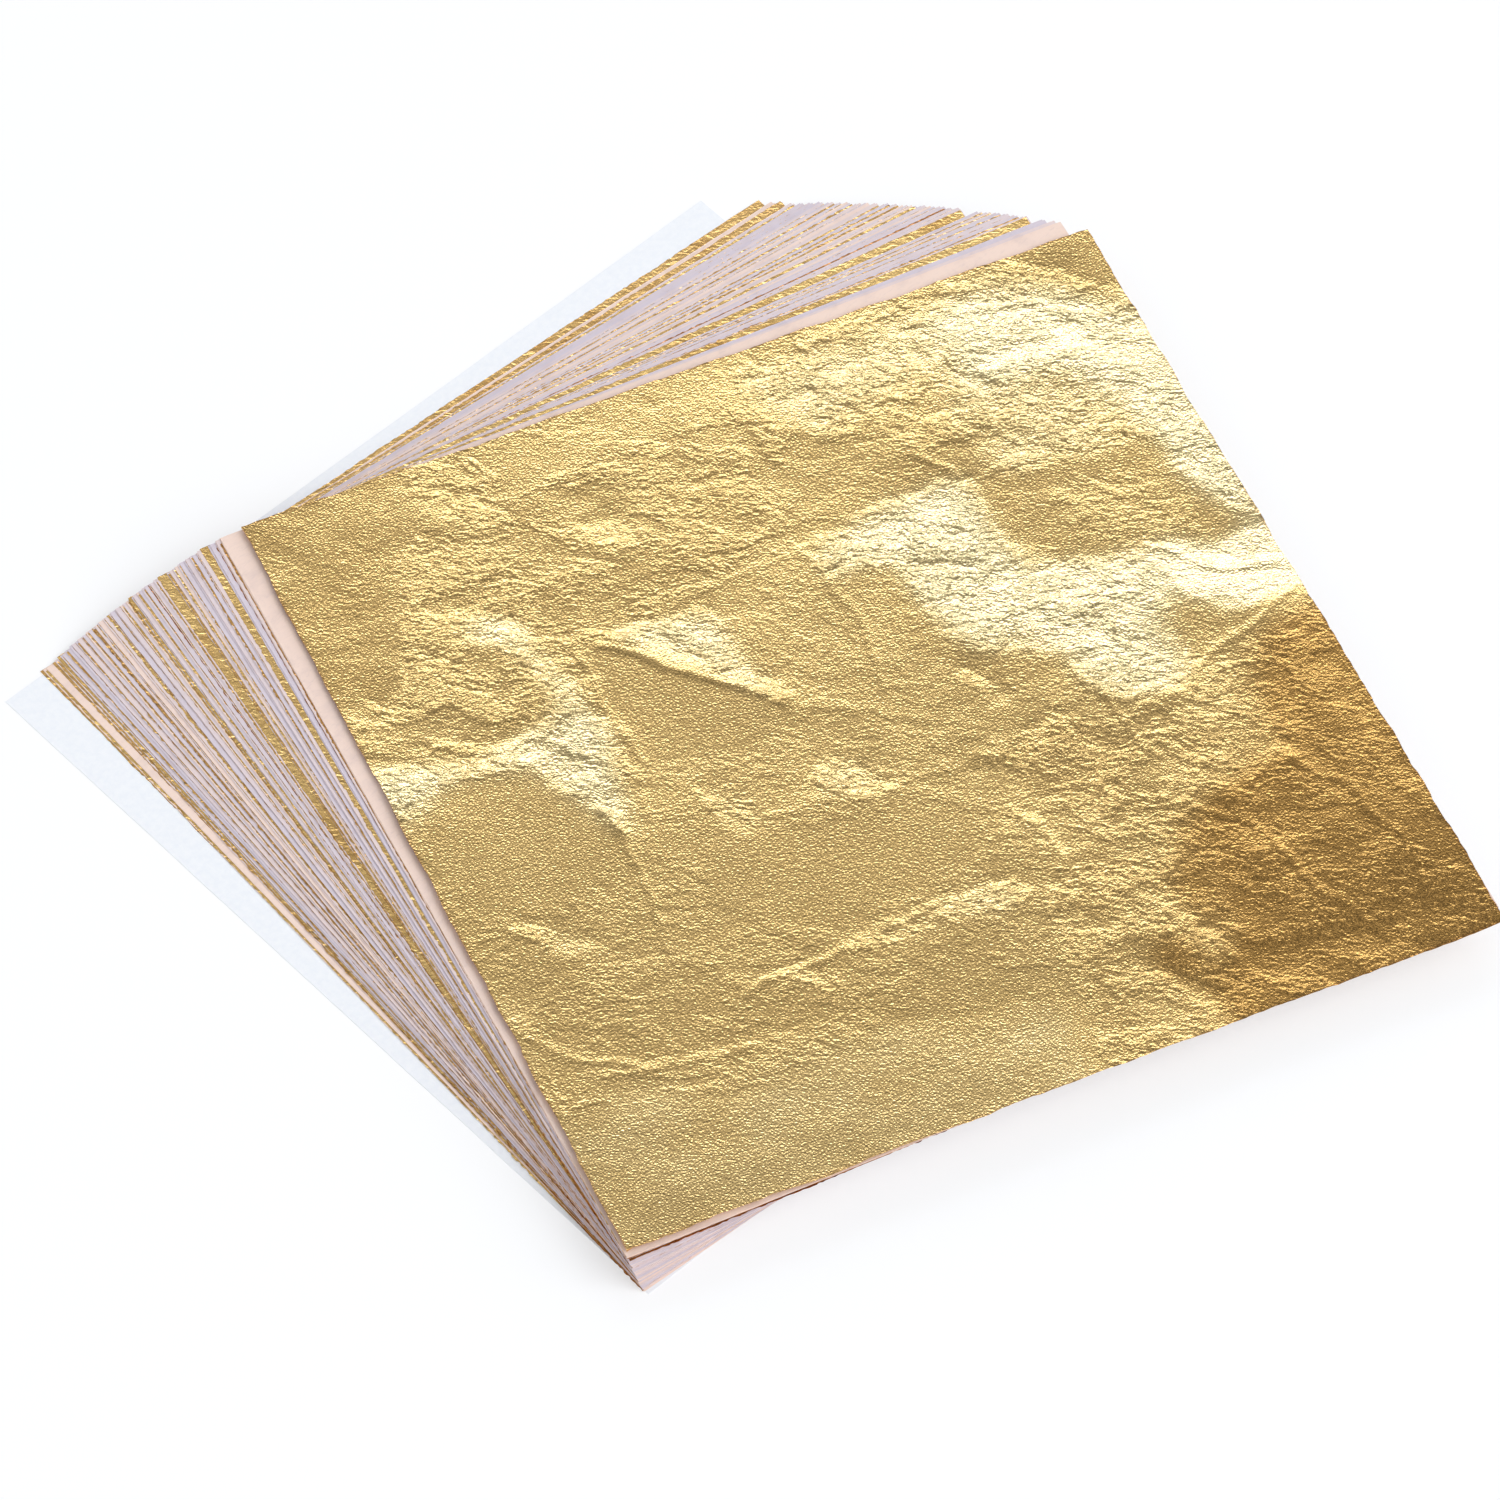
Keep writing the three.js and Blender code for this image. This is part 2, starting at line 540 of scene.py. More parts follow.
# %% Tissue material
TISSUE_LILAC = colour(217, 206, 214)
TISSUE_PEACH = colour(243, 218, 203)
TISSUE_SHADE = colour(184, 164, 166)
TISSUE_ROUGHNESS = 0.85
TISSUE_SHINE = 0.2
CLOUDS = {"size": 3.5, "detail": 3.0, "rough": 0.6}
CLOUD_EDGES = (0.45, 0.75)
CLOUD_SHADE = 0.2
STRANDS = {"size": 0.5, "detail": 2.0, "rough": 0.6, "twist": 1.5}
STRAND_STRETCH = (0.25, 1.0, 1.0)
STRAND_EDGES = (0.5, 0.8)
STRAND_SHADE = 0.18


def tissue_material():
    """Lilac to peach paper by the sheet's tint, shaded by clouds and strands."""
    material, shader, start = new_material("interleaf tissue")
    place = millimetres(start)
    clouds = noise(place, **CLOUDS).ramp(*CLOUD_EDGES)
    strands = noise(start.vector("MULTIPLY", place, STRAND_STRETCH), **STRANDS).ramp(*STRAND_EDGES)
    body = sheet_number(start, "tint").mix(TISSUE_LILAC, TISSUE_PEACH)
    paint = (CLOUD_SHADE * clouds + STRAND_SHADE * strands).mix(body, TISSUE_SHADE)
    shader.inputs["Roughness"].default_value = TISSUE_ROUGHNESS
    shader.inputs["Specular IOR Level"].default_value = TISSUE_SHINE
    paint.into(shader, "Base Color")
    return material


tissue_paper = tissue_material()
print("paper:", tissue_paper.name, "with", len(tissue_paper.node_tree.nodes), "nodes")

# %% [markdown]
# ## The backing finish
# The lowest sheet is a glazed paper, bluish white and a little clear, so the white table shines through it.
# It could be given real depth and scatter. One sheet on white needs no more than a slight see-through,
# and a pulp that is cloudy at the scale of a millimetre.

# %% Backing material
BACKING_BLUE = colour(247, 249, 252)
BACKING_WHITE = colour(253, 254, 255)
BACKING_ALPHA = 0.9
BACKING_ROUGHNESS = 0.6
PULP = {"size": 1.0, "detail": 4.0, "rough": 0.7}
PULP_EDGES = (0.3, 0.7)


def backing_material():
    """Bluish white paper with a cloudy pulp, a little clear."""
    material, shader, start = new_material("backing paper")
    pulp = noise(millimetres(start), **PULP).ramp(*PULP_EDGES)
    pulp.mix(BACKING_WHITE, BACKING_BLUE).into(shader, "Base Color")
    shader.inputs["Roughness"].default_value = BACKING_ROUGHNESS
    shader.inputs["Alpha"].default_value = BACKING_ALPHA
    return material


backing_paper = backing_material()
print("paper:", backing_paper.name, "with", len(backing_paper.node_tree.nodes), "nodes")

# %% [markdown]
# ## One recipe for every flat sheet
# Leaves, tissues and the backing are all thin squares with an edge that wanders and, on a leaf, tears into
# flakes. A hundred of them drawn by hand would be the same work a hundred times, so one Geometry Nodes tree
# draws any of them: a square curve, cut into short steps, pushed in and out by noise, filled, and thickened.
# Each sheet only changes the numbers that the tree asks for, and its seed makes its edge its own.

# %% The ragged edge
WANDER_SIZE = 9 * MM
WANDER_DETAIL = 4.0
TORN_PATCH = 14 * MM
TORN_EDGES = (0.35, 0.65)
TORN_SEED_STEP = 7.0
UPWARDS = (0.0, 0.0, 1.0)


def edge_reach(ask, spot):
    """How far each point stands out: a slow wander, and flakes that are torn in or out in patches."""
    space = {"noise_dimensions": "4D"}
    slow = {"Vector": spot, "W": ask["Seed"], "Scale": 1 / WANDER_SIZE, "Detail": WANDER_DETAIL}
    broad = {"Vector": spot, "W": ask["Seed"] + TORN_SEED_STEP, "Scale": 1 / TORN_PATCH}
    wander = spot.node("ShaderNodeTexNoise", space, slow)
    patches = spot.node("ShaderNodeTexNoise", space, broad)
    flake = {0: ask["Flake Size"], 1: ask["Flake Size"], 2: 1.0}
    blocks = spot.vector("SNAP", spot, spot.node("ShaderNodeCombineXYZ", inputs=flake))
    torn = spot.node("ShaderNodeTexWhiteNoise", space, {"Vector": blocks, "W": ask["Seed"]})
    reach = ask["Stand Out"] + (wander * 2 - 1) * ask["Wander"]
    return reach + (torn * 2 - 1) * ask["Flake"] * patches.ramp(*TORN_EDGES)


def ragged_edge(ask, spot):
    """A square curve in short steps, each step pushed in or out."""
    size = {"Width": ask["Side"], "Height": ask["Side"]}
    square = spot.node("GeometryNodeCurvePrimitiveQuadrilateral", {"mode": "RECTANGLE"}, size)
    steps = spot.node("GeometryNodeResampleCurve", inputs={"Curve": square, "Count": ask["Edge Points"]})
    outward = spot.vector("CROSS_PRODUCT", spot.node("GeometryNodeInputTangent"), UPWARDS)
    push = outward.scaled(edge_reach(ask, spot))
    return spot.node("GeometryNodeSetPosition", inputs={"Geometry": steps, "Offset": push})


print("edges wander every", WANDER_SIZE / MM, "mm and tear in patches of", TORN_PATCH / MM, "mm")

# %% [markdown]
# ## From an edge to a closed sheet
# A filled curve is a face with no back, but a sheet has two sides and an edge. A Solidify modifier could add
# them to each sheet afterwards, but the tree does it once for all: the face is raised by the thickness,
# a turned copy closes it below, and the doubled points are merged.
# The sheet then gets a map that runs from 0 to 1 along both sides, and the one number that its finish reads.

# %% The ragged sheet tree
SHEET_INPUTS = {
    "Side": "NodeSocketFloat",
    "Thickness": "NodeSocketFloat",
    "Edge Points": "NodeSocketInt",
    "Stand Out": "NodeSocketFloat",
    "Wander": "NodeSocketFloat",
    "Flake": "NodeSocketFloat",
    "Flake Size": "NodeSocketFloat",
    "Tint": "NodeSocketFloat",
    "Seed": "NodeSocketFloat",
    "Finish": "NodeSocketMaterial",
}
WELD = 0.001 * MM
MAP_MIDDLE = (0.5, 0.5, 0.0)


def closed_sheet(edge, thickness):
    """The edge filled with a face, raised by the thickness and closed below."""
    face = edge.node("GeometryNodeFillCurve", {"mode": "TRIANGLES"}, {"Curve": edge})
    rise = edge.node("FunctionNodeInputVector", {"vector": UPWARDS})
    lift = {"Mesh": face, "Offset": rise, "Offset Scale": thickness, "Individual": False}
    walls = edge.node("GeometryNodeExtrudeMesh", {"mode": "FACES"}, lift)
    under = edge.node("GeometryNodeFlipFaces", inputs={"Mesh": face})
    both = edge.node("GeometryNodeJoinGeometry", inputs={"Geometry": [walls, under]})
    return edge.node("GeometryNodeMergeByDistance", inputs={"Geometry": both, "Distance": WELD})


def stored(geometry, name, kind, domain, value):
    """The geometry with a named value on it."""
    settings = {"data_type": kind, "domain": domain}
    inputs = {"Geometry": geometry, "Name": name, "Value": value}
    return geometry.node("GeometryNodeStoreNamedAttribute", settings, inputs)


def ragged_sheet_tree():
    """The whole tree, and the identifier of each of its inputs by name."""
    tree = bpy.data.node_groups.new("ragged sheet", "GeometryNodeTree")
    tree.is_modifier = True
    keys = {}
    for name, kind in SHEET_INPUTS.items():
        keys[name] = tree.interface.new_socket(name, in_out="INPUT", socket_type=kind).identifier
    tree.interface.new_socket("Sheet", in_out="OUTPUT", socket_type="NodeSocketGeometry")
    entry = tree.nodes.new("NodeGroupInput")
    ask = {name: Wire(tree, entry.outputs[name]) for name in SHEET_INPUTS}
    spot = Wire(tree).node("GeometryNodeInputPosition")
    sheet = closed_sheet(ragged_edge(ask, spot), ask["Thickness"])
    share = spot.vector("ADD", spot.scaled(1 / ask["Side"]), MAP_MIDDLE)
    sheet = stored(sheet, "sheet", "FLOAT2", "CORNER", share)
    sheet = stored(sheet, "tint", "FLOAT", "FACE", ask["Tint"])
    plain = sheet.node("GeometryNodeRealizeInstances", inputs={"Geometry": sheet})
    dressed = sheet.node("GeometryNodeSetMaterial", inputs={"Geometry": plain, "Material": ask["Finish"]})
    dressed.into(tree.nodes.new("NodeGroupOutput"), 0)
    return tree, keys


sheet_tree, sheet_keys = ragged_sheet_tree()
print("ragged sheet tree:", len(sheet_tree.nodes), "nodes")

# %% [markdown]
# ## Making and laying a sheet
# A modifier runs the tree, and its inputs are set by their identifiers before anything looks at the result.
# The result could stay live, but what rides on a body has to be plain, so it is copied into a mesh of its
# own and the modifier goes. The place of the sheet is then written into the mesh, and the object stays at
# the origin. Laying it ties it to the body that it moves with and hides the frame's sheet of that name.

# %% Make and lay a sheet
def make_sheet(name, matrix, values):
    """Draws one sheet, turns it into a plain mesh and puts it in its place."""
    piece = bpy.data.objects.new(name, bpy.data.meshes.new(name))
    scene.collection.objects.link(piece)
    recipe = piece.modifiers.new("ragged sheet", "NODES")
    recipe.node_group = sheet_tree
    for key, value in values.items():
        recipe[sheet_keys[key]] = value
    graph = bpy.context.evaluated_depsgraph_get()
    drawn = piece.evaluated_get(graph)
    mesh = bpy.data.meshes.new_from_object(drawn, preserve_all_data_layers=True, depsgraph=graph)
    piece.modifiers.remove(recipe)
    piece.data = mesh
    mesh.name = name
    half = values["Side"] / 2
    mesh.transform(matrix @ Matrix.Translation((half, half, 0)))
    return piece


def lay(piece, node):
    """Ties the piece to the body that it rides on and hides the frame's sheet of that name."""
    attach(piece, node)
    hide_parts(node)


print("a sheet asks for:", ", ".join(sheet_keys))

# %% [markdown]
# ## The leaves of the fan
# A leaf is laid on its tissue by hand, so it never lies quite true. Most leaves end close to the edge of
# their tissue and show as a hair of gold. Those that were laid carelessly stand out further, on the left, on
# the far side or both, with a more ragged rim, and a few are painted brown, a painted shade for rims that
# lie in shade, and show as brown lines.
# Random slips alone would put the bold lines anywhere, so these are listed, and only the others are drawn
# by lot, with a fixed seed.

# %% Lay a leaf askew
LEAF_SIDE = top.side
FOIL_THICKNESS = 0.012 * MM
LEAF_POINTS = 1100
LEAF_WANDER = 0.06 * MM
LOOSE_WANDER = 0.25 * MM
LEAF_FLAKE = 0.16 * MM
LEAF_FLAKE_SIZE = 0.5 * MM
# How far a leaf stands out on the left and on the far side, in millimetres, by its number from the bottom.
GOLD_LINES = {
    1: (-0.6, 0.6), 2: (-0.7, 0.3), 3: (0.4, 0.4), 6: (0.1, 0.2), 8: (0.2, 0.3), 10: (0.15, 0.2),
    12: (0.3, 0.3), 16: (0.4, 0.45), 21: (0.4, 0.5), 23: (0.05, 0.4), 27: (0.2, 0.55),
    28: (0.1, -0.7), 29: (0.4, -0.5),
}
PLAIN_LEFT = (-0.08, 0.1)
PLAIN_FAR = (0.1, 0.4)
# How brown a leaf is painted, from 0 to 1, by its number from the bottom: painted shade on its rim.
BROWN_LINES = {1: 0.25, 2: 0.3, 19: 0.8, 25: 0.5, 26: 0.5, 28: 0.9, 29: 0.6}
GOLD_SHADE_BROWN = 0.1
PLAIN_SHADE_BROWN = 0.25
SHAKE = random.Random(4107)


def leaf_values(number, brown_share, wander=LEAF_WANDER):
    """What the sheet tree asks for, for one leaf."""
    return {
        "Side": LEAF_SIDE, "Thickness": FOIL_THICKNESS, "Edge Points": LEAF_POINTS,
        "Stand Out": 0.0, "Wander": wander, "Flake": LEAF_FLAKE, "Flake Size": LEAF_FLAKE_SIZE,
        "Tint": brown_share, "Seed": float(number), "Finish": fan_foil,
    }


def slid(left, far):
    """Slides a sheet so that it stands out on the left and on the far side, in millimetres."""
    return Matrix.Translation((-left * MM, far * MM, 0))


def lay_leaf(number):
    """One leaf of the frame, laid on the paper below it."""
    node = f"leaf_{number:02d}"
    plain = (SHAKE.uniform(*PLAIN_LEFT), SHAKE.uniform(*PLAIN_FAR))
    seat = places[node].matrix(height=places[node].low) @ slid(*GOLD_LINES.get(number, plain))
    # How brown the leaf is painted, as painted shade on its rim.
    brown_share = BROWN_LINES.get(number, GOLD_SHADE_BROWN if number in GOLD_LINES else PLAIN_SHADE_BROWN)
    wander = LOOSE_WANDER if number in GOLD_LINES else LEAF_WANDER
    piece = make_sheet(f"gold_{node}", seat, leaf_values(number, brown_share, wander))
    lay(piece, node)


# The brown lines are painted shade on rims that lie in shade.
print("leaves that stand out:", len(GOLD_LINES), "tarnished ones:", len(BROWN_LINES))

# %% [markdown]
# ## The tissues of the fan
# In the frame a leaf and a paper slab take turns. Here each slab opens into what it stands for: a tissue, a
# leaf and a tissue, so the pack gets its full count. They could be spread freely, but sheets that share a
# height would cut through one another when the fan turns. Each keeps to its own thin layer instead, and so
# nothing meets when the fan opens or closes. The upper sheets of a slab are turned back a little, which
# makes one step of the fan into three.

# %% Lay the fan
FAN_COUNT = sum(1 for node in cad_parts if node.startswith("tissue_"))
TISSUE_SIDE = places["tissue_01"].side
TISSUE_THICKNESS = 0.078 * MM
LAYER_AIR = 0.006 * MM
TISSUE_POINTS = 420
TISSUE_WANDER = 0.12 * MM
TISSUE_FLAKE = 0.05 * MM
TISSUE_FLAKE_SIZE = 0.6 * MM
TISSUE_TINTS = (0.0, 0.1, 0.3, 0.5, 0.9)
TISSUE_SPREAD = math.radians(0.16)
# Lots are drawn between two limits: slips and stand-outs in millimetres, spreads as shares of the one above.
TISSUE_STAND_OUT = (-0.15, 0.15)
INNER_LEFT = (-0.08, 0.12)
INNER_FAR = (0.1, 0.36)
# How brown an inner leaf is painted, as painted shade on its rim.
INNER_SHADE_BROWN = (0.0, 0.5)
UPPER_SPREAD = (0.6, 1.3)
HIGHEST_SPREAD = 0.02
INNER_SEED = 100
TISSUE_SEED = 200.0


def tissue_values(number, tint):
    """What the sheet tree asks for, for one tissue."""
    return {
        "Side": TISSUE_SIDE, "Thickness": TISSUE_THICKNESS, "Edge Points": TISSUE_POINTS,
        "Stand Out": SHAKE.uniform(*TISSUE_STAND_OUT) * MM, "Wander": TISSUE_WANDER, "Flake": TISSUE_FLAKE,
        "Flake Size": TISSUE_FLAKE_SIZE, "Tint": tint, "Seed": TISSUE_SEED + number, "Finish": tissue_paper,
    }


def tissue_tint(number):
    """Peach where gold lies right under a broad strip, at the bottom and the top, and by lot elsewhere."""
    return SHAKE.choice(TISSUE_TINTS) if 1 < number < FAN_COUNT else 1.0


def lay_slab(number):
    """The tissue, leaf and tissue that a paper slab of the frame stands for."""
    node = f"tissue_{number:02d}"
    slab = places[node]
    level = places[f"leaf_{number:02d}"].low + FOIL_THICKNESS + LAYER_AIR
    tint = tissue_tint(number)
    lower = make_sheet(f"{node}_lower", slab.matrix(height=level), tissue_values(2 * number, tint))
    lay(lower, node)

    level += TISSUE_THICKNESS + LAYER_AIR
    slip = slid(SHAKE.uniform(*INNER_LEFT), SHAKE.uniform(*INNER_FAR))
    # Each inner leaf is painted a little brown at random, as painted shade on its rim.
    values = leaf_values(INNER_SEED + number, SHAKE.uniform(*INNER_SHADE_BROWN))
    inner = make_sheet(f"{node}_inner_leaf", slab.matrix(-TISSUE_SPREAD / 2, level) @ slip, values)
    lay(inner, node)

    level += FOIL_THICKNESS + LAYER_AIR
    tint = tissue_tint(number)
    spread = SHAKE.uniform(*UPPER_SPREAD) if number < FAN_COUNT else HIGHEST_SPREAD
    seat = slab.matrix(-spread * TISSUE_SPREAD, level)
    upper = make_sheet(f"{node}_upper", seat, tissue_values(2 * number + 1, tint))
    lay(upper, node)


for number in range(1, FAN_COUNT + 1):
    lay_leaf(number)
    lay_slab(number)
print("laid:", FAN_COUNT, "leaves and as many slabs of tissue, leaf and tissue")

# %% [markdown]
# ## The backing sheet
# Under the pack lies one sheet of thin glazed paper, which shows past the fan on the left.
# A plain square would nearly do, but its rim shows against the table, so it follows the same recipe as the
# rest, with a clean cut edge that hardly wanders and never flakes.

# %% Lay the backing
BACKING_WANDER = 0.1 * MM
BACKING_FLAKE_SIZE = 1.0 * MM
BACKING_SEED = 500.0

backing = places["backing_sheet"]
backing_piece = make_sheet("backing_paper_sheet", backing.matrix(height=backing.low), {
    "Side": backing.side, "Thickness": backing.high - backing.low, "Edge Points": TISSUE_POINTS,
    "Stand Out": 0.0, "Wander": BACKING_WANDER, "Flake": 0.0, "Flake Size": BACKING_FLAKE_SIZE,
    "Tint": 0.0, "Seed": BACKING_SEED, "Finish": backing_paper,
})
lay(backing_piece, "backing_sheet")
print("backing side", round(backing.side / MM, 2), "mm")

# %% [markdown]
# ## Smooth noise for the top leaf
# The whole face of the top leaf shows, and its creases are what make it foil. Its shape is worked out in
# millimetres on the leaf, with x from the near corner to the right and y from the near corner to the left.
# Torn edges and small crumples need noise outside any node tree. Blender has noise for single points, but a
# leaf has eighty thousand, so this cell writes gradient noise for whole fields of points at once.

# %% Ripples
GRADIENTS = 128
RIPPLE_GAIN = 1.5
SAMPLE_SWELL = 5.0
SAMPLE_SEED = 1
leaf_side = top.side / MM


def smooth(value):
    """Eases from 0 to 1, level at both ends."""
    value = np.clip(value, 0.0, 1.0)
    return value * value * (3 - 2 * value)


def ripple(x, y, size, seed):
    """Smooth noise between about -1 and 1, with one swell for every size millimetres."""
    angles = np.random.default_rng(seed).random((GRADIENTS, GRADIENTS)) * 2 * math.pi
    x, y = x / size, y / size
    column, row = np.floor(x).astype(int), np.floor(y).astype(int)
    x, y = x - column, y - row
    corner = {}
    for right_step in (0, 1):
        for up_step in (0, 1):
            angle = angles[(row + up_step) % GRADIENTS, (column + right_step) % GRADIENTS]
            corner[right_step, up_step] = np.cos(angle) * (x - right_step) + np.sin(angle) * (y - up_step)
    blend_x, blend_y = smooth(x), smooth(y)
    lower = corner[0, 0] + (corner[1, 0] - corner[0, 0]) * blend_x
    upper = corner[0, 1] + (corner[1, 1] - corner[0, 1]) * blend_x
    return (lower + (upper - lower) * blend_y) * RIPPLE_GAIN


every_mm = np.arange(leaf_side)
sample = ripple(*np.meshgrid(every_mm, every_mm), SAMPLE_SWELL, SAMPLE_SEED)
print("a ripple runs from", round(float(sample.min()), 2), "to", round(float(sample.max()), 2))

# %% [markdown]
# ## The facets of the top leaf
# On a real leaf wide flat facets meet at folds, and each facet leans its own way. A random crumple would be
# quick, but it has no such facets. So the leans are painted first, as listed outlines: towards the
# glow, flat, or away from it, each with its share of wrinkles. Later outlines paint over earlier ones.
# An outline drawn straight comes out torn, because the places that it is tested at stray a little.

# %% Paint the facets
# Each lean also sets the top leaf's tone, so a bright facet is partly painted highlight and a dark one
# partly painted shade.
FACETS = [
    # lean towards the glow in degrees before the gain, wrinkles from 0 to 1, outline
    # the near corner, then the left corner and the left half of the far edge
    (0.8, 0.08, [(-1, -1), (80, -1), (76, 14), (54, 19), (40, 19), (26, 17), (10, 25), (-1, 24)]),
    (-0.4, 0.6, [(0, 140), (0, 92), (12, 88), (30, 84), (36, 72), (36, 100), (33, 118), (36, 128),
                 (44, 140)]),
    (-1.0, 0.15, [(0, 141), (0, 104), (8, 102), (14, 112), (18, 124), (27, 134), (24, 141)]),
    (-0.7, 0.5, [(36, 128), (33, 116), (36, 100), (58, 102), (75, 103), (75, 117), (85, 121), (78, 130),
                 (60, 131)]),
    # the far corner with its bright bands
    (1.1, 0.8, [(77, 137), (100, 141), (141, 141), (141, 100), (128, 100), (110, 101), (104, 109), (98, 113),
                (94, 119), (88, 119), (80, 125)]),
    (0.2, 0.6, [(88, 119), (96, 118), (104, 108), (110, 110), (100, 116), (110, 118), (104, 121),
                (90, 122)]),
    (2.9, 0.65, [(107, 134), (118, 134), (129, 131), (134, 125), (141, 120), (141, 108), (132, 106),
                 (130, 115), (125, 119), (114, 121), (114, 129)]),
    (2.9, 0.6, [(141, 109), (141, 80), (137, 83), (133, 92), (134, 100), (132, 108)]),
    (0.3, 0.4, [(113, 98), (125, 96), (131, 88), (133, 82), (126, 81), (115, 86), (105, 88), (104, 91),
                (112, 93)]),
    # the large bright patches right of the middle, with brighter cores
    (2.2, 0.9, [(86, 95), (101, 93), (108, 84), (123, 81), (121, 75), (119, 64), (118, 60), (108, 62),
                (103, 69), (91, 74), (87, 81)]),
    (2.8, 0.9, [(90, 90), (100, 88), (104, 81), (110, 82), (113, 78), (108, 76), (100, 77), (94, 79),
                (91, 84)]),
    (2.0, 0.9, [(74, 98), (77, 103), (95, 106), (103, 104), (103, 91), (88, 90), (86, 95), (75, 95)]),
    (2.8, 0.8, [(91, 100), (96, 104), (101, 103), (101, 96), (97, 93), (92, 95)]),
    (3.1, 0.35, [(141, 81), (131, 77), (125, 82), (121, 80), (123, 72), (127, 66), (141, 65)]),
    (2.0, 0.9, [(103, 69), (111, 69), (120, 61), (117, 55), (107, 57), (102, 62)]),
    # the bright wedge left of the middle, the calm flat before it and a dark crease
    (2.2, 0.9, [(40, 101), (50, 100), (58, 98), (58, 91), (57, 88), (62, 78), (60, 78), (54, 86), (48, 93)]),
    (-0.2, 0.05, [(37, 98), (41, 99), (48, 92), (54, 85), (62, 75), (50, 72), (37, 76)]),
    (-1.0, 0.2, [(33, 109), (36, 112), (40, 104), (37, 101)]),
    # the bright bands on the left, round a smooth flat
    (2.3, 0.9, [(26, 107), (30, 105), (34, 94), (35, 84), (33, 74), (29, 64), (27, 72), (22, 81), (30, 88)]),
    (2.0, 0.8, [(0, 92), (7, 89), (14, 88), (28, 90), (27, 82), (20, 83), (8, 84), (0, 78)]),
    (0.3, 0.05, [(2, 76), (8, 81), (16, 82), (22, 78), (27, 68), (27, 62), (18, 58), (4, 60)]),
    # small creases that catch the light, and the smooth flat in the near half
    (1.4, 0.7, [(25, 135), (30, 137), (32, 130), (31, 127), (27, 130)]),
    (1.1, 0.8, [(55, 62), (62, 66), (68, 62), (70, 57), (62, 57)]),
    (1.2, 0.8, [(42, 69), (47, 68), (49, 61), (46, 59), (43, 63)]),
    (0.0, 0.05, [(40, 58), (52, 57), (76, 50), (74, 40), (46, 39), (36, 48)]),
    (1.4, 0.8, [(50, 34), (65, 36), (75, 36), (80, 32), (77, 31), (65, 33), (52, 33)]),
    (1.2, 0.8, [(37, 34), (43, 35), (47, 29), (44, 28), (41, 32)]),
    (1.2, 0.7, [(85, 72), (88, 72), (91, 65), (89, 64)]),
    (1.1, 0.8, [(82, 47), (86, 44), (88, 34), (86, 30), (85, 38)]),
    (1.2, 0.7, [(7, 58), (12, 55), (18, 49), (14, 48), (8, 54)]),
    (0.5, 0.25, [(-1, 50), (4, 46), (4, 38), (10, 31), (24, 26), (45, 25), (54, 19), (40, 19), (26, 17),
                 (10, 25), (-1, 24)]),
    # the right corner, which leans away and is darkest at its tip, also by painted shade
    (-1.0, 0.6, [(80, 56), (96, 61), (104, 55), (118, 56), (128, 60), (141, 64), (141, -1), (76, -1),
                 (80, 30), (92, 42)]),
    (-3.0, 0.5, [(128, 61), (141, 65), (141, -1), (98, -1), (90, 14), (104, 34), (122, 40)]),
    (-4.4, 0.4, [(141, 60), (133, 50), (127, 40), (112, 36), (106, 20), (101, 2), (141, -1)]),
    (-0.6, 0.7, [(92, 26), (98, 24), (102, 10), (97, 12)]),
    (-1.2, 0.7, [(106, 46), (116, 48), (128, 38), (118, 38), (108, 40)]),
    # the far corner's tip, the far edge and two creases near the left corner
    (-0.8, 0.1, [(124, 141), (141, 141), (141, 127)]),
    (0.0, 0.3, [(58, 141), (124, 141), (127, 138), (90, 138)]),
    (1.9, 0.9, [(20, 113), (26, 112), (33, 106), (33, 102), (26, 104), (21, 107)]),
    (1.5, 0.9, [(46, 120), (52, 119), (53, 114), (47, 113)]),
]
PLAIN_WRINKLES = 0.2
STRAYS = ((7, 0.9, 11, 13), (2.5, 0.5, 12, 14))  # swell and reach in millimetres, then a seed for x and y


def inside(x, y, outline):
    """1 inside a closed outline and 0 outside it, counted by how often a line to the right crosses it."""
    crossed = np.zeros(x.shape, bool)
    for (x0, y0), (x1, y1) in zip(outline, outline[1:] + outline[:1]):
        if y0 != y1:
            crossed ^= ((y0 > y) != (y1 > y)) & (x < x0 + (y - y0) * (x1 - x0) / (y1 - y0))
    return crossed.astype(float)


def strayed(x, y):
    """Places that stray a little from where they are."""
    stray_x, stray_y = x, y
    for swell, reach, seed_x, seed_y in STRAYS:
        stray_x = stray_x + reach * ripple(x, y, swell, seed_x)
        stray_y = stray_y + reach * ripple(x, y, swell, seed_y)
    return stray_x, stray_y


def paint_facets(x, y):
    """The lean in degrees and the wrinkles from 0 to 1, over the leaf."""
    x, y = strayed(x, y)
    lean = np.zeros(x.shape)
    wrinkles = np.full(x.shape, PLAIN_WRINKLES)
    for value, wrinkle, outline in FACETS:
        mask = inside(x, y, outline)
        lean += (value - lean) * mask
        wrinkles += (wrinkle - wrinkles) * mask
    return lean, wrinkles


leans = [facet[0] for facet in FACETS]
print("facets:", len(FACETS), "leaning from", min(leans), "to", max(leans))

# %% [markdown]
# ## The folds of the top leaf
# Where a leaf was once bent, a crease stays as a low sharp ridge that runs on across the facets.
# Creases could be part of the bump, but they break the outline of the light, so they are in the mesh:
# short straight stretches through listed points, each a ridge with straight flanks.

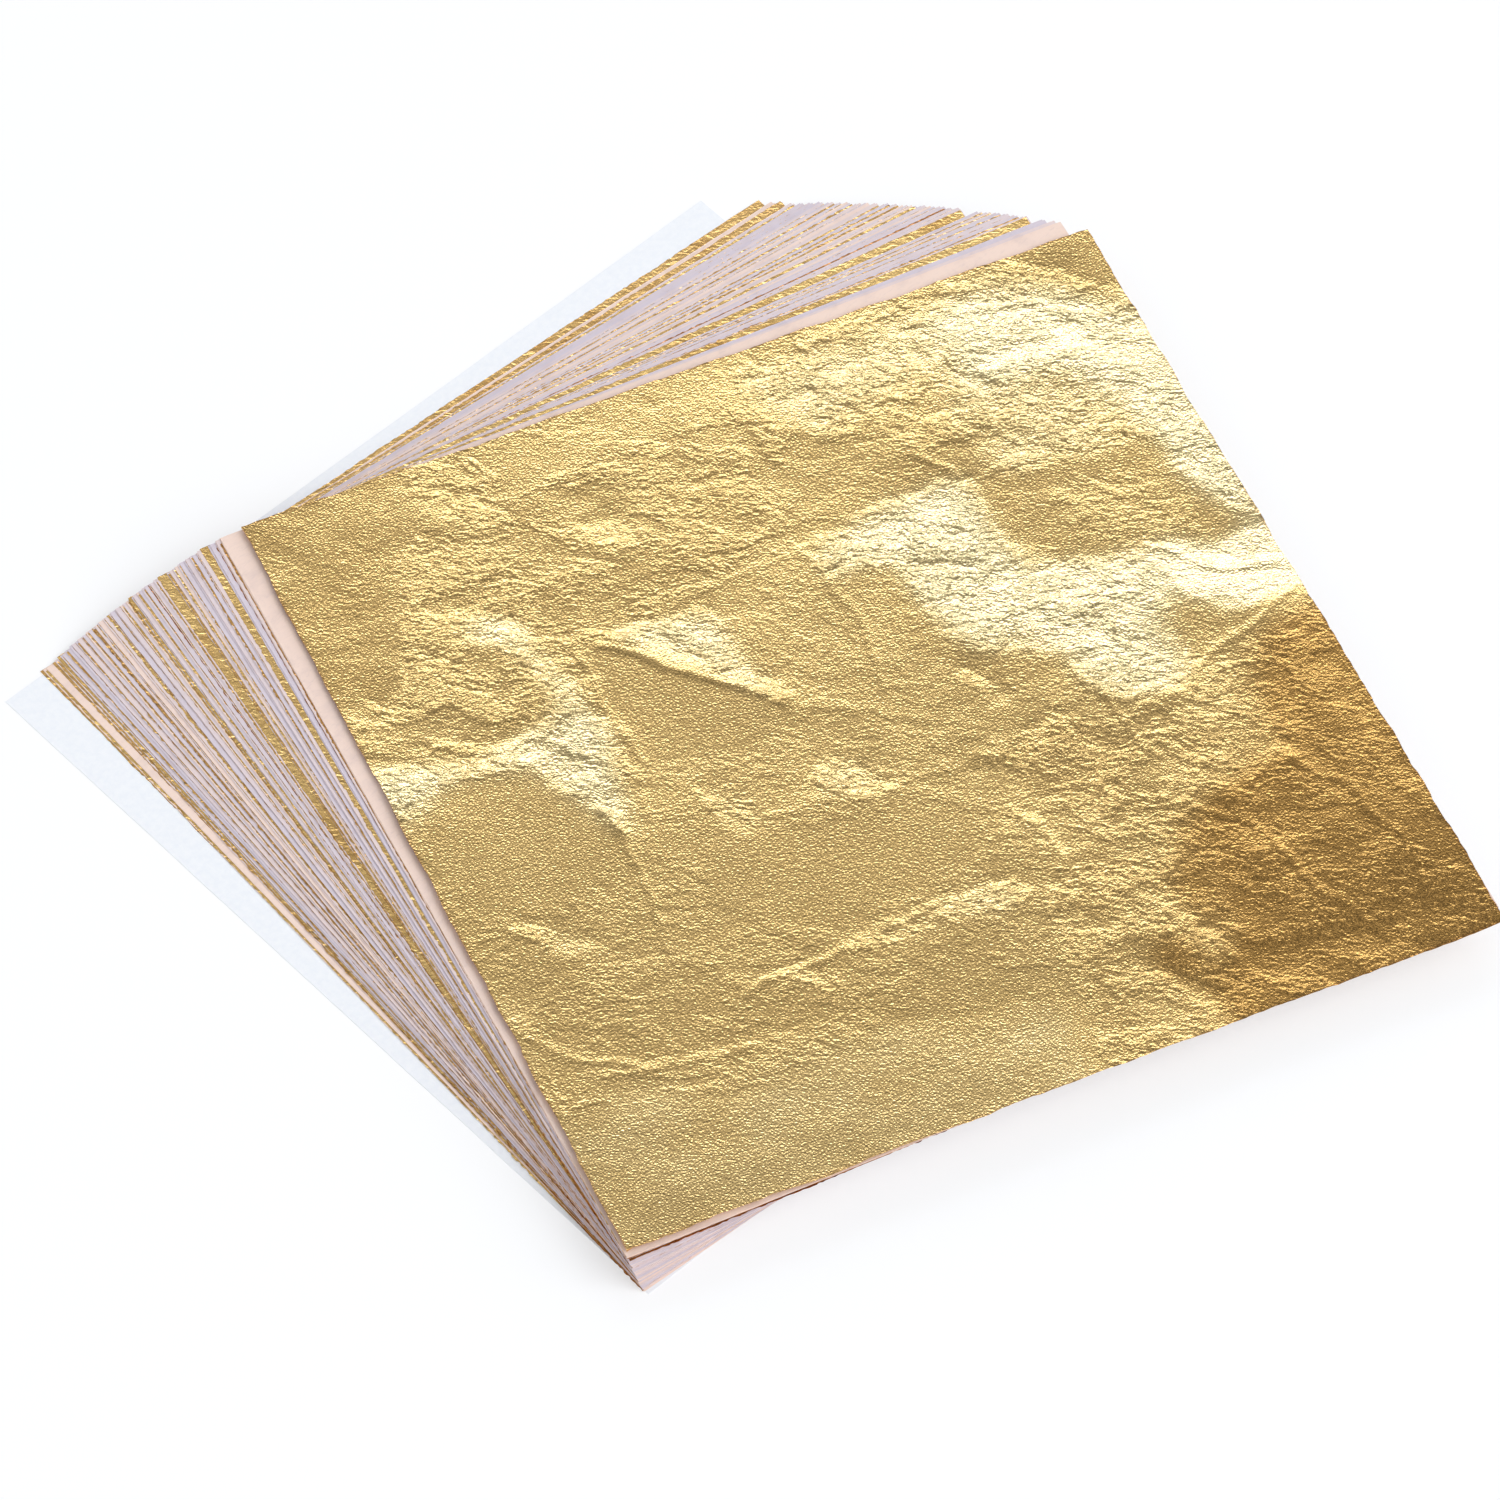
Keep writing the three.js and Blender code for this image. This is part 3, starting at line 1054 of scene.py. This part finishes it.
# %% Draw the folds
FOLD_WIDTH = 0.9
FOLDS = [
    # rise in millimetres, then the points that the fold runs through
    (0.11, [(40, 99), (45, 93), (52, 86), (58, 81), (61, 78)]),
    (0.03, [(63, 76), (70, 73), (78, 66)]),
    (0.03, [(37, 101), (55, 101), (75, 102), (90, 104), (100, 105)]),
    (0.06, [(36, 101), (36, 88), (37, 76), (33, 68)]),
    (0.06, [(74, 104), (76, 95), (77, 84), (75, 74)]),
    (0.08, [(97, 112), (101, 107), (103, 98), (103, 88)]),
    (0.07, [(103, 78), (102, 68), (104, 58), (106, 46)]),
    (0.07, [(140, 66), (130, 63), (120, 59), (106, 58)]),
    (0.025, [(106, 58), (92, 57), (72, 57), (50, 61)]),
    (0.10, [(122, 82), (127, 77), (132, 73), (140, 71)]),
    (0.09, [(108, 134), (118, 133), (128, 130), (134, 124)]),
    (0.08, [(83, 47), (86, 40), (84, 28), (81, 18)]),
    (0.07, [(33, 33), (48, 34), (64, 36), (78, 35)]),
    (0.06, [(28, 72), (29, 60), (27, 45)]),
    (0.05, [(0, 42), (7, 32), (16, 27), (30, 24)]),
    (0.07, [(10, 92), (16, 88), (24, 87), (33, 78)]),
    (0.08, [(104, 40), (114, 30), (118, 16), (124, 4)]),
    (0.08, [(124, 38), (130, 30), (133, 18)]),
    (0.07, [(138, 46), (135, 34), (139, 22)]),
    (0.06, [(92, 28), (99, 16), (104, 4)]),
]


def fold_rise(x, y):
    """How far the sharp folds stand up, each a ridge with straight flanks."""
    x, y = strayed(x, y)
    total = np.zeros(x.shape)
    for rise, line in FOLDS:
        for (x0, y0), (x1, y1) in zip(line, line[1:]):
            run_x, run_y = x1 - x0, y1 - y0
            along = np.clip(((x - x0) * run_x + (y - y0) * run_y) / (run_x ** 2 + run_y ** 2), 0, 1)
            gap = np.hypot(x - x0 - along * run_x, y - y0 - along * run_y)
            total = np.maximum(total, rise * np.clip(1 - gap / FOLD_WIDTH, 0, 1))
    return total


print("folds:", len(FOLDS), "the highest", max(rise for rise, line in FOLDS), "mm")

# %% [markdown]
# ## Letting the leaf settle
# The painted leans don't fit together: no sheet has just those slopes everywhere. Stepping from facet to
# facet would leave cliffs. Instead least squares find the one sheet whose slopes come nearest to all the
# leans, as a real leaf settles, with a weight that keeps wide humps low. On a square grid that is one
# division in waves, so it takes a Fourier transform of mirrored fields and no stepping at all.

# %% Settle the sheet
GLOW_ON_LEAF = (0.50, 0.866)
LEAN_GAIN = 1.9
WEIGHT_SPAN = 70.0


def mirrored(field, flip_x, flip_y):
    """Four mirrored copies of a field, so that its waves run on past the edges."""
    row = np.hstack((field, flip_x * field[:, ::-1]))
    return np.vstack((row, flip_y * row[::-1]))


def waves_of(field, step):
    """The waves of a mirrored field along x and along y."""
    waves = np.fft.fftfreq(2 * len(field), step) * 2 * math.pi
    return np.meshgrid(waves, waves)


def settle(slope_x, slope_y, step):
    """The sheet whose slopes come nearest to the ones asked for, in millimetres."""
    wave_x, wave_y = waves_of(slope_x, step)
    asked = wave_x * np.fft.fft2(mirrored(slope_x, -1, 1)) + wave_y * np.fft.fft2(mirrored(slope_y, 1, -1))
    weight = (2 * math.pi / WEIGHT_SPAN) ** 2
    sheet = np.fft.ifft2(-1j * asked / (wave_x ** 2 + wave_y ** 2 + weight)).real
    return sheet[:len(slope_x), :len(slope_x)]


def soften(field, step, reach):
    """The field with everything narrower than reach millimetres smoothed away."""
    wave_x, wave_y = waves_of(field, step)
    kept = np.exp(-(wave_x ** 2 + wave_y ** 2) * reach ** 2 / 2)
    return np.fft.ifft2(np.fft.fft2(mirrored(field, 1, 1)) * kept).real[:len(field), :len(field)]


level_slopes = np.zeros(sample.shape)
settled = settle(level_slopes, level_slopes, 1.0)
print("a sheet with no lean settles to within", float(np.ptp(settled)), "mm of flat")

# %% [markdown]
# ## The height of the top leaf
# The settled sheet gives the broad form. Small crumples of four sizes go on top, strongest where the facet
# is wrinkled, then the folds. One noise for everything would be shorter, but foil is calm in one place and
# crushed in the next. The lean wavers within a facet, because no facet of foil is quite flat, and the height
# is calmed towards the edges, because a loose rim lies flatter than the middle.

# %% Work out the height
LEAF_SQUARES = 280
LEAN_WAVER = (0.5, 6, 35)  # share of the lean, swell in millimetres, seed
# Each crumple has its swell and its rise in millimetres, then its seed.
CRUMPLES = ((14.0, 0.12, 31), (7.0, 0.07, 32), (3.6, 0.05, 33), (2.0, 0.03, 34))
LOOSE_REACH = 0.4
TINT_REACH = 2.5
EDGE_CALM = 9.0
EDGE_KEPT = 0.6


def leaf_height(x, y, side):
    """Height of the crinkled leaf above its tissue in millimetres, its wrinkles and its lean."""
    step = side / LEAF_SQUARES
    lean, wrinkles = paint_facets(x, y)
    waver, swell, seed = LEAN_WAVER
    lean = lean * (1 + waver * ripple(x, y, swell, seed))
    slope = -np.tan(np.radians(lean * LEAN_GAIN))
    height = settle(slope * GLOW_ON_LEAF[0], slope * GLOW_ON_LEAF[1], step)
    looseness = soften(wrinkles, step, LOOSE_REACH)
    for swell, rise, seed in CRUMPLES:
        height = height - rise * looseness * np.abs(ripple(x, y, swell, seed))
    height = height + fold_rise(x, y)
    inside_by = np.minimum(np.minimum(x, side - x), np.minimum(y, side - y))
    height = (height - height.mean()) * (EDGE_KEPT + (1 - EDGE_KEPT) * smooth(inside_by / EDGE_CALM))
    return height - height.min(), looseness, soften(lean, step, TINT_REACH)


line = np.linspace(0, leaf_side, LEAF_SQUARES + 1)
leaf_x, leaf_y = np.meshgrid(line, line)
height, wrinkles, lean = leaf_height(leaf_x, leaf_y, leaf_side)
print("the leaf rises", round(float(height.max()), 2), "mm and leans up to", round(float(lean.max()), 2))

# %% [markdown]
# ## The body of the top leaf
# Foil has no thickness to speak of, but a body needs an under face. A copy of the upper face would do, at
# twice the cost. Nobody sees the creases from below, so the under face has half the points each way and lies
# at the lowest height round each, which keeps it under the upper face everywhere.
# The rim wanders in and out like that of any torn leaf, and three-cornered faces join the two grids there.

# %% Points and faces of the top leaf
UNDER_SKIP = 2
UNDER_REACH = 2
FOIL_RISE = 0.03
RIM_DEPTH = 4.0
RIM_SWELLS = ((7, 0.3, 3), (1.7, 0.15, 5))  # swell and reach in millimetres, row of the noise
RIM_SEEDS = {"left": 21, "right": 22, "near": 23, "far": 24}


def rim_wander(distance, seed):
    """How far the torn rim wanders in or out along one edge, in millimetres."""
    return sum(reach * ripple(distance, np.full_like(distance, row), swell, seed)
               for swell, reach, row in RIM_SWELLS)


def leaf_points(x, y, height, side):
    """The points of the leaf's upper and under faces, in millimetres."""
    left, right, near, far = [np.clip(1 - gap / RIM_DEPTH, 0, 1) for gap in (x, side - x, y, side - y)]
    x = x + left * rim_wander(y, RIM_SEEDS["left"]) + right * rim_wander(y, RIM_SEEDS["right"])
    y = y + near * rim_wander(x, RIM_SEEDS["near"]) + far * rim_wander(x, RIM_SEEDS["far"])
    lowest = height.copy()
    for down in range(-UNDER_REACH, UNDER_REACH + 1):
        for across in range(-UNDER_REACH, UNDER_REACH + 1):
            lowest = np.minimum(lowest, np.roll(height, (down, across), axis=(0, 1)))
    upper = np.stack((x, y, height + FOIL_RISE), axis=-1)
    return upper, np.stack((x, y, lowest), axis=-1)[::UNDER_SKIP, ::UNDER_SKIP]


def grid_faces(count, first, facing_up):
    """The squares between the points of one grid, whose first point has that number."""
    faces = []
    for row in range(count - 1):
        for column in range(count - 1):
            a = first + row * count + column
            opposite = a + count + 1
            faces.append((a, a + 1, opposite, a + count) if facing_up else (a, a + count, opposite, a + 1))
    return faces


def grid_rim(count, first):
    """The numbers of a grid's points along its four edges, all the way round."""
    last = count - 1
    return [
        [first + i for i in range(count)],
        [first + i * count + last for i in range(count)],
        [first + count * count - 1 - i for i in range(count)],
        [first + (last - i) * count for i in range(count)],
    ]


def leaf_faces(upper_count, under_count):
    """Squares of the upper and under grids, and the three-cornered faces that join them round the rim."""
    first = upper_count ** 2
    faces = grid_faces(upper_count, 0, True) + grid_faces(under_count, first, False)
    for over, below in zip(grid_rim(upper_count, 0), grid_rim(under_count, first)):
        for i in range(under_count - 1):
            a, b, c = over[UNDER_SKIP * i:UNDER_SKIP * i + 3]
            d, e = below[i:i + 2]
            faces += [(b, a, d), (c, b, e), (b, d, e)]
    return faces


upper, under = leaf_points(leaf_x, leaf_y, height, leaf_side)
points = np.concatenate((upper.reshape(-1, 3), under.reshape(-1, 3)))
faces = leaf_faces(len(upper), len(under))
print("top leaf:", len(points), "points and", len(faces), "faces")

# %% [markdown]
# ## Laying the top leaf
# The finish reads the wrinkles, the lean and a map from the mesh, so these go on first.
# Foil shines without a break over soft creases and breaks at the rim, so the shading is smooth except where
# two faces meet at a steep angle. Then the leaf goes to its place, on the highest tissue.

# %% Lay the top leaf
SHARP_ANGLE = math.radians(70)

leaf_mesh = bpy.data.meshes.new("gold_top_leaf")
leaf_mesh.from_pydata((points * MM).tolist(), [], faces)
# The lean goes on as the tint, which the finish turns into painted highlight and painted shade.
for name, field in (("wrinkle", wrinkles), ("tint", lean)):
    both = np.concatenate((field.ravel(), field[::UNDER_SKIP, ::UNDER_SKIP].ravel()))
    leaf_mesh.attributes.new(name, "FLOAT", "POINT").data.foreach_set("value", both.astype(np.float32))
corner_points = np.empty(len(leaf_mesh.loops), int)
leaf_mesh.loops.foreach_get("vertex_index", corner_points)
leaf_map = (points[corner_points, :2] / leaf_side).astype(np.float32)
leaf_mesh.uv_layers.new(name="sheet").data.foreach_set("uv", leaf_map.ravel())
leaf_mesh.shade_smooth()
leaf_mesh.set_sharp_from_angle(angle=SHARP_ANGLE)
leaf_mesh.materials.append(top_foil)
leaf_mesh.transform(top.matrix(height=top.low))
top_piece = bpy.data.objects.new("gold_top_leaf", leaf_mesh)
scene.collection.objects.link(top_piece)
lay(top_piece, "top_leaf")
print("top leaf crinkled", round(float(upper[..., 2].max()), 2), "mm high")

# %% [markdown]
# ## Close
# The looks may not change the size of the object.
